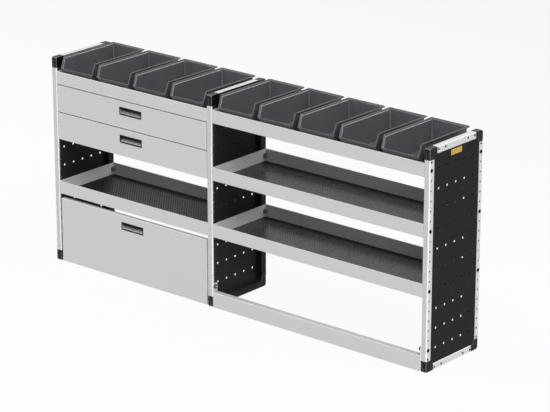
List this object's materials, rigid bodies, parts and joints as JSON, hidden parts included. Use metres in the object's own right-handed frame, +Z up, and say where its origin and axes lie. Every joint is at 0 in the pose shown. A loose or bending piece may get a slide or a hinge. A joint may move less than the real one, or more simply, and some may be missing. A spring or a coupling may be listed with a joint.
{
  "type": "van racking row",
  "caption": "Van racking row: perforated end frames, shelf trays, storage bins on top, drawers and a drop flap in one bay.",
  "frame": {"origin": "middle of the row's footprint, on the floor", "axes": "+X along the row towards the open shelf bay, -Y towards the user, +Z up"},
  "size_m": [2.227, 0.374, 1.0128],
  "materials": {
    "anodised": "fine satin anodised",
    "silver_paint": "light grey satin paint on folded sheet steel",
    "black_paint": "black powder coat",
    "black_nylon": "black moulded nylon, slightly grained",
    "bin_plastic": "dark grey moulded polypropylene",
    "mat_rubber": "ribbed dark grey rubber",
    "zinc": "bright zinc plate"
  },
  "bodies": {
    "base": {"left_front_upright": "anodised", "left_rear_upright": "anodised", "left_top_rail": "anodised", "left_bottom_rail": "anodised", "left_side_panel": "black_paint", "left_connector_top_front": "black_nylon", "left_connector_top_rear": "black_nylon", "left_connector_bottom_front": "black_nylon", "left_connector_bottom_rear": "black_nylon", "mid_front_upright": "anodised", "mid_rear_upright": "anodised", "mid_top_rail": "anodised", "mid_bottom_rail": "anodised", "mid_side_panel": "black_paint", "mid_connector_top_front": "black_nylon", "mid_connector_top_rear": "black_nylon", "mid_connector_bottom_front": "black_nylon", "mid_connector_bottom_rear": "black_nylon", "right_front_upright": "anodised", "right_rear_upright": "anodised", "right_top_rail": "anodised", "right_bottom_rail": "anodised", "right_side_panel": "black_paint", "right_connector_top_front": "black_nylon", "right_connector_top_rear": "black_nylon", "right_connector_bottom_front": "black_nylon", "right_connector_bottom_rear": "black_nylon", "left_top_tray": "silver_paint", "left_shelf_tray": "silver_paint", "right_top_tray": "silver_paint", "right_upper_shelf_tray": "silver_paint", "right_lower_shelf_tray": "silver_paint", "left_shelf_mat": "mat_rubber", "right_upper_shelf_mat": "mat_rubber", "right_lower_shelf_mat": "mat_rubber", "kick_rail": "silver_paint", "upper_left_slide_fixed": "zinc", "upper_right_slide_fixed": "zinc", "lower_left_slide_fixed": "zinc", "lower_right_slide_fixed": "zinc", "flap_hinge_rod": "zinc"},
    "upper_drawer": {"upper_drawer": "silver_paint", "upper_drawer_pull": "black_nylon"},
    "upper_slide_middles": {"upper_left_slide_middle": "zinc", "upper_right_slide_middle": "zinc"},
    "lower_drawer": {"lower_drawer": "silver_paint", "lower_drawer_pull": "black_nylon"},
    "lower_slide_middles": {"lower_left_slide_middle": "zinc", "lower_right_slide_middle": "zinc"},
    "flap": {"flap": "silver_paint", "flap_pull": "black_nylon"},
    "left_bin_1": {"left_bin_1": "bin_plastic"},
    "left_bin_2": {"left_bin_2": "bin_plastic"},
    "left_bin_3": {"left_bin_3": "bin_plastic"},
    "left_bin_4": {"left_bin_4": "bin_plastic"},
    "right_bin_1": {"right_bin_1": "bin_plastic"},
    "right_bin_2": {"right_bin_2": "bin_plastic"},
    "right_bin_3": {"right_bin_3": "bin_plastic"},
    "right_bin_4": {"right_bin_4": "bin_plastic"},
    "right_bin_5": {"right_bin_5": "bin_plastic"}
  },
  "joints": [
    {"name": "upper_drawer_slide", "type": "slide", "parent": "base", "child": "upper_drawer", "axis": [0, -1, 0], "range_m": [0, 0.32]},
    {"name": "upper_middle_slide", "type": "slide", "parent": "base", "child": "upper_slide_middles", "axis": [0, -1, 0], "range_m": [0, 0.16]},
    {"name": "lower_drawer_slide", "type": "slide", "parent": "base", "child": "lower_drawer", "axis": [0, -1, 0], "range_m": [0, 0.32]},
    {"name": "lower_middle_slide", "type": "slide", "parent": "base", "child": "lower_slide_middles", "axis": [0, -1, 0], "range_m": [0, 0.16]},
    {"name": "flap_hinge", "type": "hinge", "parent": "base", "child": "flap", "pos_m": [-0.61, -0.178, 0.013], "axis": [1, 0, 0], "range_deg": [0, 90]},
    {"name": "left_bin_1_lift", "type": "slide", "parent": "base", "child": "left_bin_1", "axis": [0, 0, 1], "range_m": [0, 0.15]},
    {"name": "left_bin_2_lift", "type": "slide", "parent": "base", "child": "left_bin_2", "axis": [0, 0, 1], "range_m": [0, 0.15]},
    {"name": "left_bin_3_lift", "type": "slide", "parent": "base", "child": "left_bin_3", "axis": [0, 0, 1], "range_m": [0, 0.15]},
    {"name": "left_bin_4_lift", "type": "slide", "parent": "base", "child": "left_bin_4", "axis": [0, 0, 1], "range_m": [0, 0.15]},
    {"name": "right_bin_1_lift", "type": "slide", "parent": "base", "child": "right_bin_1", "axis": [0, 0, 1], "range_m": [0, 0.15]},
    {"name": "right_bin_2_lift", "type": "slide", "parent": "base", "child": "right_bin_2", "axis": [0, 0, 1], "range_m": [0, 0.15]},
    {"name": "right_bin_3_lift", "type": "slide", "parent": "base", "child": "right_bin_3", "axis": [0, 0, 1], "range_m": [0, 0.15]},
    {"name": "right_bin_4_lift", "type": "slide", "parent": "base", "child": "right_bin_4", "axis": [0, 0, 1], "range_m": [0, 0.15]},
    {"name": "right_bin_5_lift", "type": "slide", "parent": "base", "child": "right_bin_5", "axis": [0, 0, 1], "range_m": [0, 0.15]}
  ],
  "couplings": [
    {"joint": "upper_middle_slide", "follows": "upper_drawer_slide", "ratio": 0.5},
    {"joint": "lower_middle_slide", "follows": "lower_drawer_slide", "ratio": 0.5}
  ]
}
